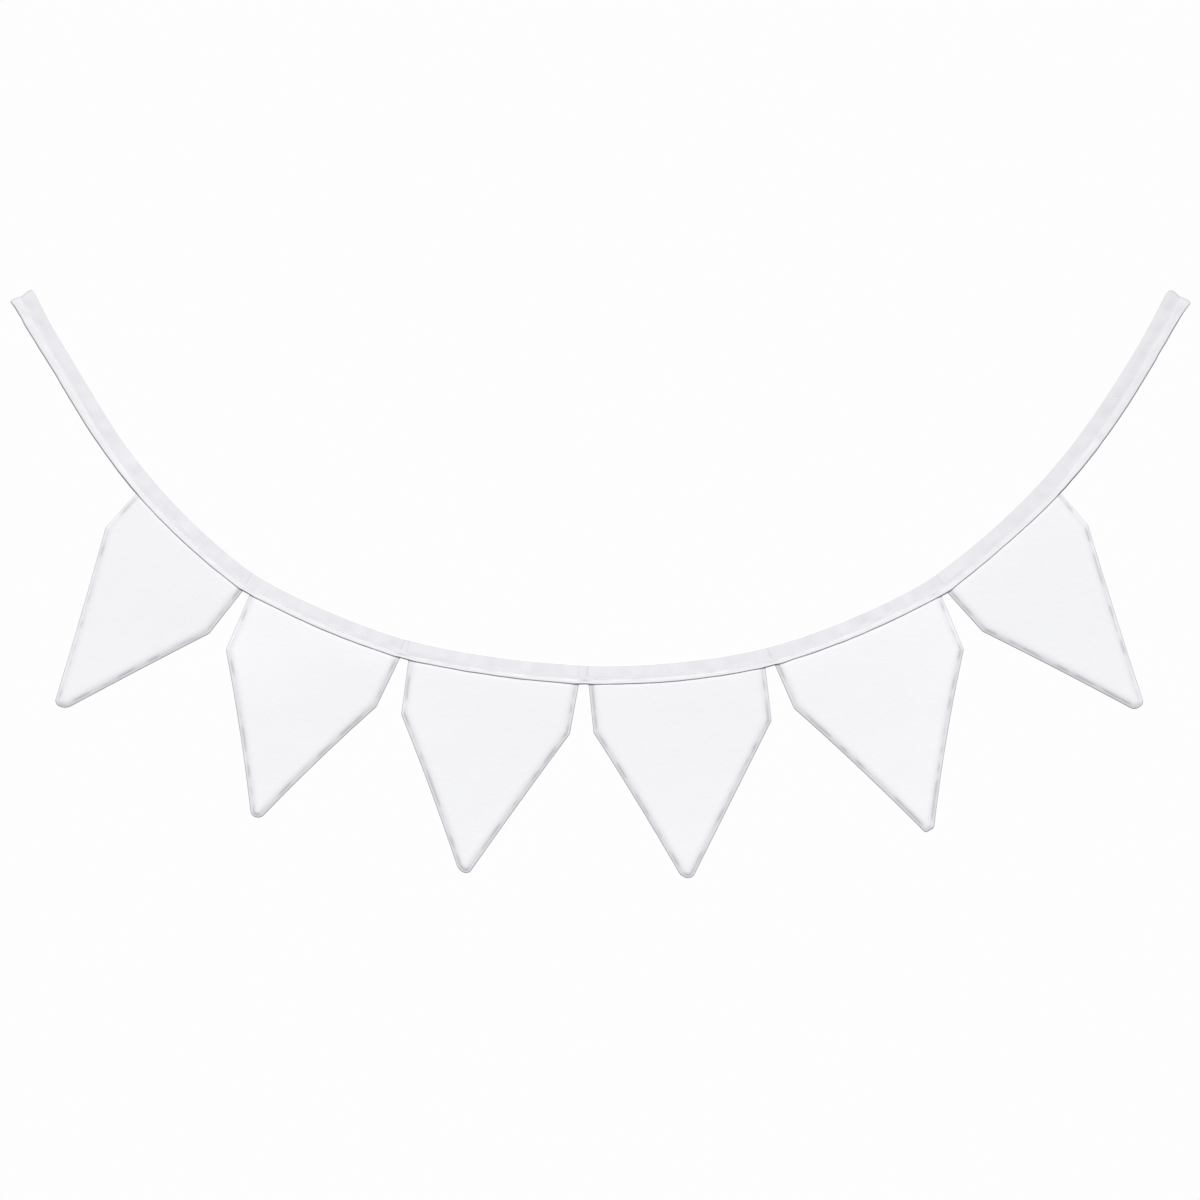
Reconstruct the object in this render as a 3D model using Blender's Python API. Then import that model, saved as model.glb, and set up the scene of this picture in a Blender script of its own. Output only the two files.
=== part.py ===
"""Fabric bunting: six double pennants held in one folded tape, which hangs in a swag by its two ends.

Metres, +Z up, +X to the right along the swag, -Y towards the viewer.
The origin is the point near the left end of the tape that holds it up.
"""
import math
from collections import namedtuple

import bmesh
import bpy
import numpy as np
from mathutils import Matrix, Vector

MM = 0.001

# ---- driving dimensions --------------------------------------------------------------------------

LEAF = 1.0 * MM             # one side of the folded tape
EASE = 0.3 * MM             # air between the tape and the pennant inside it
CLOSED_SLOT = 0.15 * MM     # half the air between the tape's own sides where it runs empty
CLOSING_RUN = 9.0 * MM      # length over which the tape closes beyond the outer pennants
STITCH_DENT = 0.35 * MM     # how deep the topstitching draws the tape in
DENT_REACH = 1.0 * MM       # half the width of that channel
STRIP_PUFF = 0.12 * MM      # how far the strip below the stitching swells
EDGE_ROUND = 0.35 * MM
FOLD_RUN = 2.0 * MM         # height over which the two sides close into the fold
END_ROUND = 2.6 * MM        # rounding of the tape's ends at the fold
END_ROUND_LOW = 0.9 * MM    # and at the lower edge
END_LOBE = 1.2 * MM         # how far the two lobes of each end swell past the stitching
END_THINNING = 0.4          # share of its thickness that a side loses at the very end
END_SECTIONS = (0.12, 0.4, 1.0)     # shares of END_ROUND where extra sections stand
STATION_STEP = 1.7          # degrees, the widest spacing of the tape's sections
CUT_CORNERS = (0.3, 0.7)    # shares of a side's thickness left flat along its lower edge
FOLD_TURNS = (0.0, 30.0, 62.0)      # degrees round the fold where its points stand

HANG_ANGLE = -66.3          # degrees, the held point near the tape's left end

MARGIN = 10.8 * MM          # depth of a pennant inside the tape
MARGIN_HALF = 0.5 * MM      # half thickness of that pressed margin
BODY_HALF = 1.3 * MM        # half thickness of a pennant inside its turned seam
PRESSED_RUN = 4.0 * MM      # from the tape's edge down to the first full row
PRESSED_SHARE = 0.75        # share of that half thickness there, still drawn in by the tape
SHORT_SIDE_ROW = 0.55       # share of the way down the short sides, an extra row there
LONG_SIDE_ROWS = (0.25, 0.5, 0.75)
TIP_ROWS = (0.0, 0.35, 0.7, 1.0)
INNER_COLUMNS = 5
NARROWEST_MIDDLE = 1 / 3    # share of a row that its two rims leave flat, near the tip

CREASE_ANGLE = 50.0         # degrees, edges sharper than this aren't shaded smooth

# The tape, from its left end to its right: angle from straight down about the centre of the swag
# (degrees), how far its lower edge is from that centre, its folded width, and the height of the
# stitching above its lower edge (millimetres).
Station = namedtuple("Station", "angle edge width stitch")
TAPE = [
    Station(-67.6, 432.6, 17.3, 6.8),     # left end
    Station(-65.0, 430.9, 16.2, 6.5),
    Station(-61.0, 428.3, 15.2, 6.2),
    Station(-57.0, 428.4, 15.3, 6.1),
    Station(-52.0, 430.4, 15.0, 5.4),
    Station(-46.6, 432.4, 14.7, 4.5),     # pennant 1 starts
    Station(-40.0, 434.3, 14.2, 4.3),
    Station(-35.2, 435.9, 14.1, 4.2),
    Station(-33.4, 436.4, 14.4, 4.2),     # between 1 and 2
    Station(-31.5, 434.8, 13.5, 3.9),
    Station(-26.0, 432.3, 13.5, 3.8),
    Station(-20.0, 430.6, 13.4, 3.8),
    Station(-18.0, 430.5, 14.0, 4.0),     # between 2 and 3
    Station(-16.0, 429.0, 13.4, 3.8),
    Station(-10.0, 426.6, 13.2, 3.9),
    Station(-3.2, 426.2, 13.4, 3.8),
    Station(-1.2, 427.0, 13.7, 4.2),      # between 3 and 4
    Station(0.8, 426.5, 13.0, 3.8),
    Station(7.0, 427.6, 13.3, 3.9),
    Station(14.0, 429.8, 13.3, 3.9),
    Station(15.9, 430.8, 13.8, 4.1),      # between 4 and 5
    Station(17.8, 430.5, 13.2, 3.9),
    Station(25.0, 431.5, 13.3, 3.9),
    Station(31.0, 433.4, 13.6, 4.1),
    Station(32.9, 434.9, 14.9, 4.6),      # between 5 and 6
    Station(34.8, 433.8, 14.6, 4.5),
    Station(40.0, 432.2, 14.3, 4.4),
    Station(46.6, 432.1, 15.2, 4.7),      # pennant 6 ends
    Station(50.0, 431.9, 15.7, 5.9),
    Station(57.0, 431.2, 15.9, 6.5),
    Station(63.0, 431.9, 15.6, 6.5),
    Station(65.5, 433.5, 16.2, 6.7),
    Station(67.8, 435.0, 17.3, 6.9),      # right end
]

# The pennants: the swag angles (degrees) where the two sides leave the tape, then millimetres in the
# pennant's own frame, across from the middle of its top and down from it: the two shoulders, the two
# corners of the blunt tip, how far from a tip corner its rounding starts, and how far the left and
# the right long side draw in between shoulder and tip. curl is how far the tip has swung back (or
# forward, negative), belly how far the middle stands forward (or back, negative), and twist how far
# the left side has turned forward (or back, negative).
Pennant = namedtuple(
    "Pennant", "left right left_shoulder right_shoulder left_tip right_tip tip_round bows curl belly twist"
)
PENNANTS = [
    Pennant(-46.7, -33.7, (-48.8, 30.9), (52.0, 36.6), (6.4, 143.2), (14.6, 140.3), 3.8,
            (0.5, 0.3), -1.1, -0.2, 0.9),
    Pennant(-33.0, -18.3, (-55.8, 40.3), (53.6, 36.6), (3.7, 137.9), (10.4, 137.1), 3.0,
            (1.1, 1.1), -0.5, 0.2, 2.0),
    Pennant(-17.5, -1.8, (-58.3, 36.7), (57.2, 34.1), (-4.9, 136.4), (2.1, 138.4), 3.4,
            (0.9, 0.4), -0.9, -0.3, 0.9),
    Pennant(-0.9, 15.3, (-60.2, 32.6), (61.1, 35.9), (-10.1, 136.0), (-2.9, 137.9), 3.4,
            (0.7, 0.0), -1.8, -0.4, 0.2),
    Pennant(16.2, 32.5, (-60.7, 31.9), (61.4, 39.0), (-10.6, 144.3), (-3.9, 143.4), 1.6,
            (1.0, 1.6), -0.9, -0.2, -1.0),
    Pennant(33.1, 46.7, (-50.9, 35.3), (51.0, 28.3), (-8.5, 143.9), (-0.8, 145.1), 3.0,
            (0.5, 0.4), -0.4, -0.3, -1.0),
]

# Section of a turned edge, from the rim inwards: run from the rim (millimetres) and share of the
# pennant's half thickness. The cloth is pressed over the seam and swells towards the middle.
RIM = [(0.3, 0.38), (1.3, 0.6), (6.0, 0.97)]
RIM_SHARE = 0.2
MIDDLE_SHARE = 1.0
TWIST_FALL = 0.5            # share of the way down where a pennant's twist is complete


# ---- the swag ------------------------------------------------------------------------------------

def tape_value(angle, column):
    """One column of the tape's table at any angle, on a smooth curve through its rows."""
    last = len(TAPE) - 1
    high = next((i for i in range(1, last) if TAPE[i].angle >= angle), last)
    low = high - 1

    def value(i):
        return getattr(TAPE[i], column)

    def slope(i):
        before, after = max(i - 1, 0), min(i + 1, last)
        return (value(after) - value(before)) / (TAPE[after].angle - TAPE[before].angle)

    span = TAPE[high].angle - TAPE[low].angle
    t = min(max((angle - TAPE[low].angle) / span, 0.0), 1.0)
    rise = value(high) - value(low)
    ease_in = t * (1 - t) ** 2 * (slope(low) * span)
    ease_out = t * t * (t - 1) * (slope(high) * span)
    return (value(low) + rise * t * t * (3 - 2 * t) + ease_in + ease_out) * MM


def swag_point(angle, radius, depth=0.0):
    """A point of the hanging plane from its angle and distance about the centre of the swag."""
    turn = math.radians(angle)
    return Vector((radius * math.sin(turn), depth, -radius * math.cos(turn)))


HELD = swag_point(HANG_ANGLE, tape_value(HANG_ANGLE, "edge") - tape_value(HANG_ANGLE, "width") / 2)


def tape_point(angle, height, depth=0.0):
    """A point of the tape, height above its lower edge, from the held point."""
    return swag_point(angle, tape_value(angle, "edge") - height, depth) - HELD


# ---- shared modelling ----------------------------------------------------------------------------

def loft(name, rings, place=Matrix(), ties=()):
    """One closed body through a row of rings: the first is a face, extruded from ring to ring.

    ties are pairs of corners that an edge joins across each end face, where that face isn't flat.
    """
    inward = place.inverted()
    bm = bmesh.new()
    start = [bm.verts.new(inward @ point) for point in rings[0]]
    end = bm.faces.new(start)
    for ring in rings[1:]:
        end = bmesh.ops.extrude_discrete_faces(bm, faces=[end])["faces"][0]
        for vert, point in zip(end.verts, ring):
            vert.co = inward @ point
    bm.faces.new(list(reversed(start)))
    for corners in (start, list(end.verts)):
        for one, other in ties:
            bmesh.ops.connect_verts(bm, verts=[corners[one], corners[other]])
    bmesh.ops.recalc_face_normals(bm, faces=bm.faces)
    mesh = bpy.data.meshes.new(name)
    bm.to_mesh(mesh)
    bm.free()
    mesh.shade_smooth()
    mesh.set_sharp_from_angle(angle=math.radians(CREASE_ANGLE))
    body = bpy.data.objects.new(name, mesh)
    bpy.context.scene.collection.objects.link(body)
    body.matrix_local = place
    return body


def cloth(name, colour, roughness):
    """A plain dull cloth."""
    material = bpy.data.materials.new(name)
    material.use_nodes = True
    surface = material.node_tree.nodes["Principled BSDF"]
    surface.inputs["Base Color"].default_value = (*colour, 1.0)
    surface.inputs["Roughness"].default_value = roughness
    surface.inputs["Metallic"].default_value = 0.0
    return material


# ---- the tape ------------------------------------------------------------------------------------

def slot_half(angle):
    """Half the width of the slot: open round the pennants, nearly shut where the tape runs empty."""
    open_slot = MARGIN_HALF + EASE
    beyond = max(PENNANTS[0].left - angle, angle - PENNANTS[-1].right, 0.0)
    run = math.radians(beyond) * tape_value(angle, "edge")
    share = min(max(run - EASE, 0.0) / CLOSING_RUN, 1.0)
    share = share * share * (3 - 2 * share)
    return open_slot + (CLOSED_SLOT - open_slot) * share


def rounding(run, radius):
    """How far a rounded corner has fallen back, this far from its end."""
    if run >= radius:
        return 0.0
    return radius - math.sqrt(radius ** 2 - (radius - run) ** 2)


def side_profile(width, stitch, slot, leaf):
    """One side of the folded tape as (height, thickness from the middle): up the outside, down the slot."""
    bulk = slot + leaf
    outside = [
        (0.0, slot + CUT_CORNERS[0] * leaf),
        (0.0, slot + CUT_CORNERS[1] * leaf),
        (EDGE_ROUND, bulk),
        (stitch / 2, bulk + STRIP_PUFF),
        (stitch - DENT_REACH, bulk),
        (stitch, bulk - STITCH_DENT),
        (stitch + DENT_REACH, bulk),
        ((stitch + width) / 2, bulk),
    ]
    for turn in FOLD_TURNS:
        rise = FOLD_RUN * (1 - math.sin(math.radians(turn)))
        outside.append((width - rise, bulk * math.cos(math.radians(turn))))
    inside = [(width - LEAF - slot, slot), (EDGE_ROUND, slot)]
    return outside, inside


def tape_ring(angle):
    """The tape's section at an angle: out, over the fold, back and round inside the slot."""
    nearer_end = TAPE[0].angle if angle < 0 else TAPE[-1].angle
    outward = math.copysign(1.0, nearer_end)
    run = math.radians(abs(nearer_end - angle)) * tape_value(angle, "edge")
    fade = max(1 - run / END_ROUND, 0.0)

    lift = rounding(run, END_ROUND_LOW)
    top = tape_value(angle, "width") - rounding(run, END_ROUND)
    stitch = tape_value(angle, "stitch")
    leaf = LEAF * (1 - END_THINNING * fade ** 2)
    outside, inside = side_profile(top - lift, stitch - lift, slot_half(angle), leaf)

    def place(height, depth):
        height += lift
        lobe = stitch if height < stitch else top - stitch
        along_lobe = height / stitch if height < stitch else (height - stitch) / lobe
        swell = END_LOBE * fade * math.sin(math.pi * min(max(along_lobe, 0.0), 1.0))
        bulge = math.degrees(swell / tape_value(angle, "edge")) * outward
        radius = tape_value(angle, "edge") - height
        return swag_point(angle + bulge, radius, depth) - HELD

    front = [place(height, -depth) for height, depth in outside]
    back = [place(height, depth) for height, depth in reversed(outside)]
    back_slot = [place(height, depth) for height, depth in reversed(inside)]
    front_slot = [place(height, -depth) for height, depth in inside]
    fold = [place(top - lift, 0.0)]
    slot_top = [place(top - lift - LEAF, 0.0)]
    return front + fold + back + back_slot + slot_top + front_slot


def tape_angles():
    """Where the tape's sections stand: its table's rows, even steps between them, and the rounded ends."""
    angles = []
    for row, following in zip(TAPE, TAPE[1:]):
        steps = math.ceil((following.angle - row.angle) / STATION_STEP)
        angles += [row.angle + (following.angle - row.angle) * i / steps for i in range(steps)]
    angles.append(TAPE[-1].angle)
    for share in END_SECTIONS:
        run = math.degrees(share * END_ROUND / (TAPE[0].edge * MM))
        angles += [TAPE[0].angle + run, TAPE[-1].angle - run]
    return sorted(angles)


def make_tape():
    return loft("heading_tape", [tape_ring(angle) for angle in tape_angles()])


# ---- the pennants --------------------------------------------------------------------------------

class Outline:
    """A pennant's shape in its own frame: across from the middle of its top, and down from it."""

    def __init__(self, row):
        left_top = tape_point(row.left, 0.0)
        right_top = tape_point(row.right, 0.0)
        chord = right_top - left_top
        tilt = Matrix.Rotation(-math.atan2(chord.z, chord.x), 4, "Y")
        self.place = Matrix.Translation((left_top + right_top) / 2) @ tilt
        self.width = chord.length
        self.tops = (Vector((-self.width / 2, 0.0)), Vector((self.width / 2, 0.0)))
        self.shoulders = (Vector(row.left_shoulder) * MM, Vector(row.right_shoulder) * MM)
        self.tips = (Vector(row.left_tip) * MM, Vector(row.right_tip) * MM)
        self.tip_round = row.tip_round * MM
        self.bows = (row.bows[0] * MM, -row.bows[1] * MM)
        self.bottom = (self.tips[0] + self.tips[1]) / 2

    def side(self, hand):
        """Points down the left (0) or right (1) side: short side, long side, and round its tip corner."""
        top, shoulder, tip = self.tops[hand], self.shoulders[hand], self.tips[hand]
        up, along = (shoulder - tip).normalized(), (self.tips[1 - hand] - tip).normalized()
        start, end = tip + up * self.tip_round, tip + along * self.tip_round
        bow = Vector((-up.y, up.x)) * self.bows[hand]
        points = [top.lerp(shoulder, share) for share in (PRESSED_RUN / shoulder.y, SHORT_SIDE_ROW, 1.0)]
        for share in LONG_SIDE_ROWS:
            points.append(shoulder.lerp(start, share) + bow * 4 * share * (1 - share))
        points += [start.lerp(tip, share).lerp(tip.lerp(end, share), share) for share in TIP_ROWS]
        return points

    def margin_end(self, hand):
        """The swag angle and depth of the corner that the side runs up to inside the tape."""
        top, shoulder = self.tops[hand], self.shoulders[hand]
        corner = top + (top - shoulder).normalized() * MARGIN
        spot = self.place @ Vector((corner.x, 0.0, -corner.y)) + HELD
        angle = math.degrees(math.atan2(spot.x, -spot.z))
        return angle, tape_value(angle, "edge") - math.hypot(spot.x, spot.z)


def columns(width):
    """Places across a pennant, as (share of the width, share of the half thickness)."""
    squeeze = min(1.0, width * (1 - NARROWEST_MIDDLE) / 2 / (RIM[-1][0] * MM))
    rim = [(run * MM * squeeze / width, share) for run, share in RIM]
    start = rim[-1][0]
    step = (1 - 2 * start) / (INNER_COLUMNS + 1)
    middle = [(start + step * i, MIDDLE_SHARE) for i in range(1, INNER_COLUMNS + 1)]
    return rim + middle + [(1 - run, share) for run, share in reversed(rim)]


def pennant_ring(width, half, spot, swing):
    """A section across a pennant: along its front from rim to rim, and back along its rear."""
    face = columns(width)
    front = [(t, -half * share) for t, share in face]
    back = [(t, half * share) for t, share in reversed(face)]
    ring = []
    for t, depth in [(0.0, 0.0)] + front + [(1.0, 0.0)] + back:
        at = spot(t)
        ring.append(at + Vector((0.0, depth + swing(at), 0.0)))
    return ring


def rim_thickness(run):
    """Share of the half thickness this far from the bottom edge, for the rows that close the tip."""
    runs = [0.0] + [start * MM for start, _ in RIM]
    shares = [RIM_SHARE] + [share for _, share in RIM]
    return float(np.interp(run, runs, shares))


def make_pennant(name, row):
    outline = Outline(row)
    place = outline.place
    inward = place.inverted()
    ends = [outline.margin_end(hand) for hand in (0, 1)]
    short_side = min(shoulder.y for shoulder in outline.shoulders)

    def in_tape(share):
        """A row inside the tape, this share of the way up the margin, parallel to the tape's edge."""
        def spot(t):
            angle = row.left + (row.right - row.left) * t
            corner = ends[0][0] + (ends[1][0] - ends[0][0]) * t
            depth = ends[0][1] + (ends[1][1] - ends[0][1]) * t
            return tape_point(angle + (corner - angle) * share, depth * share)
        return spot

    def below(left, right):
        """A row below the tape: it follows the tape's curve at first, and is straight further down."""
        fade = max(1 - (left.y + right.y) / 2 / short_side, 0.0)

        def spot(t):
            hem = inward @ tape_point(row.left + (row.right - row.left) * t, 0.0)
            at = left.lerp(right, t)
            return place @ Vector((at.x, 0.0, hem.z * fade - at.y))
        return spot

    def swing(at):
        """How far the hanging cloth has moved off the plane of the swag."""
        local = inward @ at
        fall = min(max(-local.z - PRESSED_RUN, 0.0) / outline.bottom.y, 1.0)
        across = min(max(2 * local.x / outline.width, -1.0), 1.0)
        turned = min(fall / TWIST_FALL, 1.0)
        twist = row.twist * across * turned ** 2 * (3 - 2 * turned)
        return (row.curl * fall ** 2 - row.belly * (1 - across ** 2) * math.sin(math.pi * fall) + twist) * MM

    rings = [pennant_ring(outline.width, MARGIN_HALF, in_tape(share), swing) for share in (1.0, 0.0)]
    fullest = BODY_HALF * PRESSED_SHARE
    for left, right in zip(outline.side(0), outline.side(1)):
        half = fullest * rim_thickness(((left + right) / 2 - outline.bottom).length)
        rings.append(pennant_ring((right - left).length, half, below(left, right), swing))
        fullest = BODY_HALF
    corners = len(rings[0])
    front_to_back = [(i, corners - i) for i in range(1, corners // 2)]
    return loft(name, rings, place, front_to_back)


# ---- the bunting ---------------------------------------------------------------------------------

def main():
    for leftover in list(bpy.data.objects):
        bpy.data.objects.remove(leftover, do_unlink=True)

    bunting = bpy.data.objects.new("bunting", None)
    bpy.context.scene.collection.objects.link(bunting)

    tape = make_tape()
    tape.data.materials.append(cloth("tape_cotton", (0.80, 0.79, 0.83), 0.9))
    tape.parent = bunting

    white_cotton = cloth("pennant_cotton", (0.89, 0.90, 0.92), 0.92)
    for number, row in enumerate(PENNANTS, start=1):
        pennant = make_pennant(f"pennant_{number}", row)
        pennant.data.materials.append(white_cotton)
        pennant.parent = bunting


main()
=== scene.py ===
"""Fabric bunting: six white cotton pennants in a folded heading tape, hung up by the tape's two ends."""
import math
from collections import namedtuple

import bmesh
import bpy
from mathutils import Matrix, Vector, noise
from mathutils.bvhtree import BVHTree


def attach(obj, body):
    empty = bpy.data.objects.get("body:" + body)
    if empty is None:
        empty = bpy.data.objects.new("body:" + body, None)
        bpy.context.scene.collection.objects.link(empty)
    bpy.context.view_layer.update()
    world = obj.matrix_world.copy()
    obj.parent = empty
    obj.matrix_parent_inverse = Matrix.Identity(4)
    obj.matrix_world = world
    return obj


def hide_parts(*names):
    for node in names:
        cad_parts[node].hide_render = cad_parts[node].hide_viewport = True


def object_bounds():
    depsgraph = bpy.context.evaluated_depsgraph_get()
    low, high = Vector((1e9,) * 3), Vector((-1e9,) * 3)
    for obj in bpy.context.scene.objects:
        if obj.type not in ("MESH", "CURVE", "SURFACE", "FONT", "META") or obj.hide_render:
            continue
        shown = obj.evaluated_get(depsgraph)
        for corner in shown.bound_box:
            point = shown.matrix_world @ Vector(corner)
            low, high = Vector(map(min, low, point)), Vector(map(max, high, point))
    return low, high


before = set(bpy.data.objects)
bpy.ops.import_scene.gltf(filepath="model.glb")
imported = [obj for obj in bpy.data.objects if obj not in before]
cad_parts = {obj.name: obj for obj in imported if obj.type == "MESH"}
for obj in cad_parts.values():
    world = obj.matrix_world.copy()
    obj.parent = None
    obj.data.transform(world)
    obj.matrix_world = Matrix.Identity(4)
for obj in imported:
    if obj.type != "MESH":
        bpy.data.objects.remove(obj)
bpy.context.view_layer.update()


# ---- heading tape --------------------------------------------------------------------------------
# One strip of woven cotton tape, folded lengthwise over the tops of the pennants and sewn shut a
# little above its lower edges. Past the outer pennants it runs on empty to two cut ends, which hold
# the swag up. It is a thin sheet that follows the solid tape, with its folds and puckers laid in.

MM = 0.001
SWAG_CENTRE = Vector((0.3877, 0.0, 0.1702))     # the middle of the arc in which the tape hangs
MEAN_RADIUS = 431.5 * MM
LEFT_END, RIGHT_END = -67.6, 67.8               # degrees from straight down, about that middle
PROBE_DEPTH = 1.0 * MM                          # inside the solid tape's front side, all along
REACH = 0.6                                     # from the middle to well below the tape
ROUNDED = 1.1                                   # degrees that the rounding of the solid's ends takes up
EVENED = 0.5                                    # degrees to either side over which its edges are evened out
SLOPE_OVER = 1.5                                # degrees over which their slope is taken

TAPE_CLOTH = 0.45 * MM

# Half the thickness of the folded tape, where it holds a pennant and where it runs empty: at its lower
# edges, which curl inwards over a little height, at the stitching and at the start of the fold, which
# closes over a height of its own. puff is how far the strip below the stitching swells.
Section = namedtuple("Section", "edge curl strip puff band top fold")
FULL = Section(1.25 * MM, 0.7 * MM, 2.0 * MM, 0.02 * MM, 2.0 * MM, 1.9 * MM, 0.45 * MM)
EMPTY = Section(0.1 * MM, 0.95 * MM, 1.2 * MM, 0.11 * MM, 1.2 * MM, 0.9 * MM, 0.5 * MM)
CLOSING = 32.0 * MM                             # run past the outer pennants from full to empty
SIDES = [(-46.7, -33.7), (-33.0, -18.3), (-17.5, -1.8), (-0.9, 15.3), (16.2, 32.5), (33.1, 46.7)]
OPENING = 4.0 * MM                              # run past a pennant's side over which the lower edges part
LEFT_UNROLLED, RIGHT_UNROLLED = 0.45, 0.2       # share of their curl that the lower edges keep at the ends
LEFT_UNROLLING, RIGHT_UNROLLING = 7.0 * MM, 20.0 * MM
FLARE = 1.2 * MM                                # how far an edge that is quite unrolled reaches down
CHANNEL = 0.8 * MM                              # half width of the stitched channel
CHANNEL_DEPTH = 0.03 * MM

# Where the sheet's rows stand in each stretch of the section, from the lower edge up to the fold: shares
# of the curl, of the strip and of the band, channel half widths with shares of its depth, and degrees
# round the fold.
CURL_ROWS = (0.0, 0.22, 0.48, 0.76)
STRIP_ROWS = (0.0, 0.1, 0.25, 0.5, 0.75)
CHANNEL_ROWS = ((-1.0, 0.0), (-0.45, 0.55), (0.0, 1.0), (0.45, 0.55), (1.0, 0.0))
BAND_ROWS = (0.12, 0.25, 0.38, 0.5, 0.61, 0.71, 0.8, 0.88, 0.94, 0.98)
FOLD_ROWS = (0, 12, 25, 38, 50, 62, 73, 82)
CURL_ROUND = 1.4                                # how round the curl is: 1 would be straight
COLUMN = 1.5 * MM                               # from one column of the sheet to the next

# The height of the stitching above the tape's lower edge: angle (degrees), height (millimetres).
STITCHING = [
    (-67.6, 6.8), (-57.0, 6.2), (-52.0, 5.4), (-46.6, 4.5), (-35.0, 4.2), (-20.0, 3.8),
    (20.0, 3.8), (34.8, 4.4), (46.6, 4.7), (50.0, 5.9), (57.0, 6.5), (67.8, 6.9),
]

# Cut ends: share of the way up from the tape's lower edge, and how far the cloth reaches past the end
# there (millimetres). The band swells past the stitching, and the corner at the fold is round. The
# shape fades over a little way in from the end, where the fold is also pressed flatter.
LEFT_CUT = [
    (0.0, -1.3), (0.07, -0.3), (0.15, -0.1), (0.27, -0.15), (0.42, -0.5), (0.53, -0.2), (0.66, 0.45),
    (0.78, 1.1), (0.86, 1.25), (0.92, 0.9), (0.96, 0.2), (0.98, -0.8), (0.99, -2.2), (1.0, -3.6),
]
RIGHT_CUT = [
    (0.0, -2.6), (0.03, -1.8), (0.09, -1.2), (0.24, -0.9), (0.42, -1.15), (0.52, -0.6), (0.62, 0.2),
    (0.70, 0.65), (0.77, 0.85), (0.84, 0.6), (0.90, -0.1), (0.94, -0.9), (0.97, -1.9), (0.99, -3.0),
    (1.0, -4.2),
]
END_REACH = 9.0 * MM
END_PRESSED = 0.12

# Sharp creases, pressed in where the tape bends between two pennants and where it was once folded:
# run along the tape from its left end, lean from the stitching to the fold and depth (millimetres), and
# how much of the way to the fold the crease reaches.
Crease = namedtuple("Crease", "run lean depth reach")
CREASES = [
    Crease(255, -1.0, 0.14, 1.0), Crease(370, 2.4, 0.16, 1.0), Crease(375, -2.4, 0.16, 1.0),
    Crease(495, 0.2, 0.12, 1.0), Crease(501, 0.6, 0.18, 1.0), Crease(630, -1.4, 0.14, 1.0),
    Crease(758, 0.4, 0.07, 1.0), Crease(938, -5.0, 0.07, 0.6), Crease(981, -5.0, 0.05, 0.6),
]
CREASE_HALF = 0.45 * MM
CREASE_COLUMNS = (-1.1, -0.55, -0.25, 0.0, 0.25, 0.55, 1.1)     # millimetres to the sides of a crease
CREASE_CLEAR = 0.4                              # and how far from them the even columns keep
LEAN_REACH = 8.0 * MM
CREASE_GROWTH = 6                               # a crease is full at a sixth of the way up the band

# The main puckers drawn up from the stitching into the band, and the main ripples of the strip below it,
# placed one by one: run along the tape, half width, and depth (negative stands forward), in millimetres.
Pucker = namedtuple("Pucker", "run half depth")
PUCKERS = [
    Pucker(11, 4, 0.20), Pucker(26, 6, 0.16), Pucker(40, 5, 0.12), Pucker(657, 5, 0.20),
    Pucker(700, 5, 0.22), Pucker(717, 4, 0.22), Pucker(884, 6, 0.16), Pucker(920, 5, 0.22),
    Pucker(1007, 5, 0.26),
]
RIPPLES = [
    Pucker(14, 4, 0.34), Pucker(20, 3, -0.14), Pucker(258, 4, 0.18), Pucker(371, 4, 0.36),
    Pucker(500, 4, 0.34), Pucker(630, 4, 0.30), Pucker(750, 4, 0.24), Pucker(899, 5, -0.18),
    Pucker(906, 4, 0.22), Pucker(968, 5, -0.18), Pucker(976, 4, 0.16), Pucker(1007, 4, 0.24),
]
# Between them both rise and fall at random: how much, how often, and the row of noise it comes from.
PUCKER_CHANCE, PUCKER_STEP, PUCKER_ROW = 0.22 * MM, 9.0 * MM, 11.0
RIPPLE_CHANCE, RIPPLE_STEP, RIPPLE_ROW = 0.20 * MM, 8.0 * MM, 23.0
NOISE_LEVEL = 0.5                               # half way between two layers of the noise
PUCKERED, RIPPLED = 1.5, 0.9                    # all of them are this many times as deep
PUCKER_GROWTH = 3                               # a pucker is full at a third of the way up the band
BACK_SHARE = 0.7                                # share of their depth on the back of the tape

# How much darker the cloth is painted (share of its colour): along the run of the tape (millimetres), and
# with painted shade at its lower edges, fold and cut ends, and in creases and hollows.
DARKER_ALONG_RUN = [
    (0, 0.02), (100, 0.02), (170, 0.0), (730, 0.0),
    (780, 0.016), (860, 0.022), (930, 0.055), (1100, 0.055),
]
EDGE_SHADE, EDGE_SHADE_HEIGHT = 0.26, 0.9 * MM
STEEP_SHADE = 0.08                              # more painted shade at the lower edges where the tape hangs steeply
STEEP_FROM, STEEP_OVER = 32.0, 10.0             # degrees from straight down
FOLD_SHADE, FOLD_SHADE_DEPTH = 0.10, 1.2 * MM
EMPTY_FOLD_SHADE = 0.04
END_SHADE, END_SHADE_RUN = 0.18, 0.9 * MM
CREASE_SHADE, HOLLOW_SHADE = 0.6 / MM, 0.14 / MM

# Near the right end the cloth is painted a little lighter along the fold: a painted highlight.
FOLD_HIGHLIGHT_RUN = 936 * MM
FOLD_HIGHLIGHT_DEPTH = 3.0 * MM                               # how far down from the fold
FOLD_HIGHLIGHT_SHARE = 0.018

# Random unevenness of the sheet's thickness and of the line of its lower edges. A ripple draws the edge
# up too, by a whole wave where it is this deep.
UNEVENNESS = 0.06 * MM
UNEVEN_SCALE = 90.0                             # per metre
SIDE_ROW = 5.0                                  # the rows of noise for the two sides, to either side of 0
EDGE_WAVE = 0.18 * MM
WAVE_ROW = 3.0
WAVE_RIPPLE = 0.2 * MM

CLOTH_SHEEN = 0.15                              # specular level: matt cotton has next to none


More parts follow.
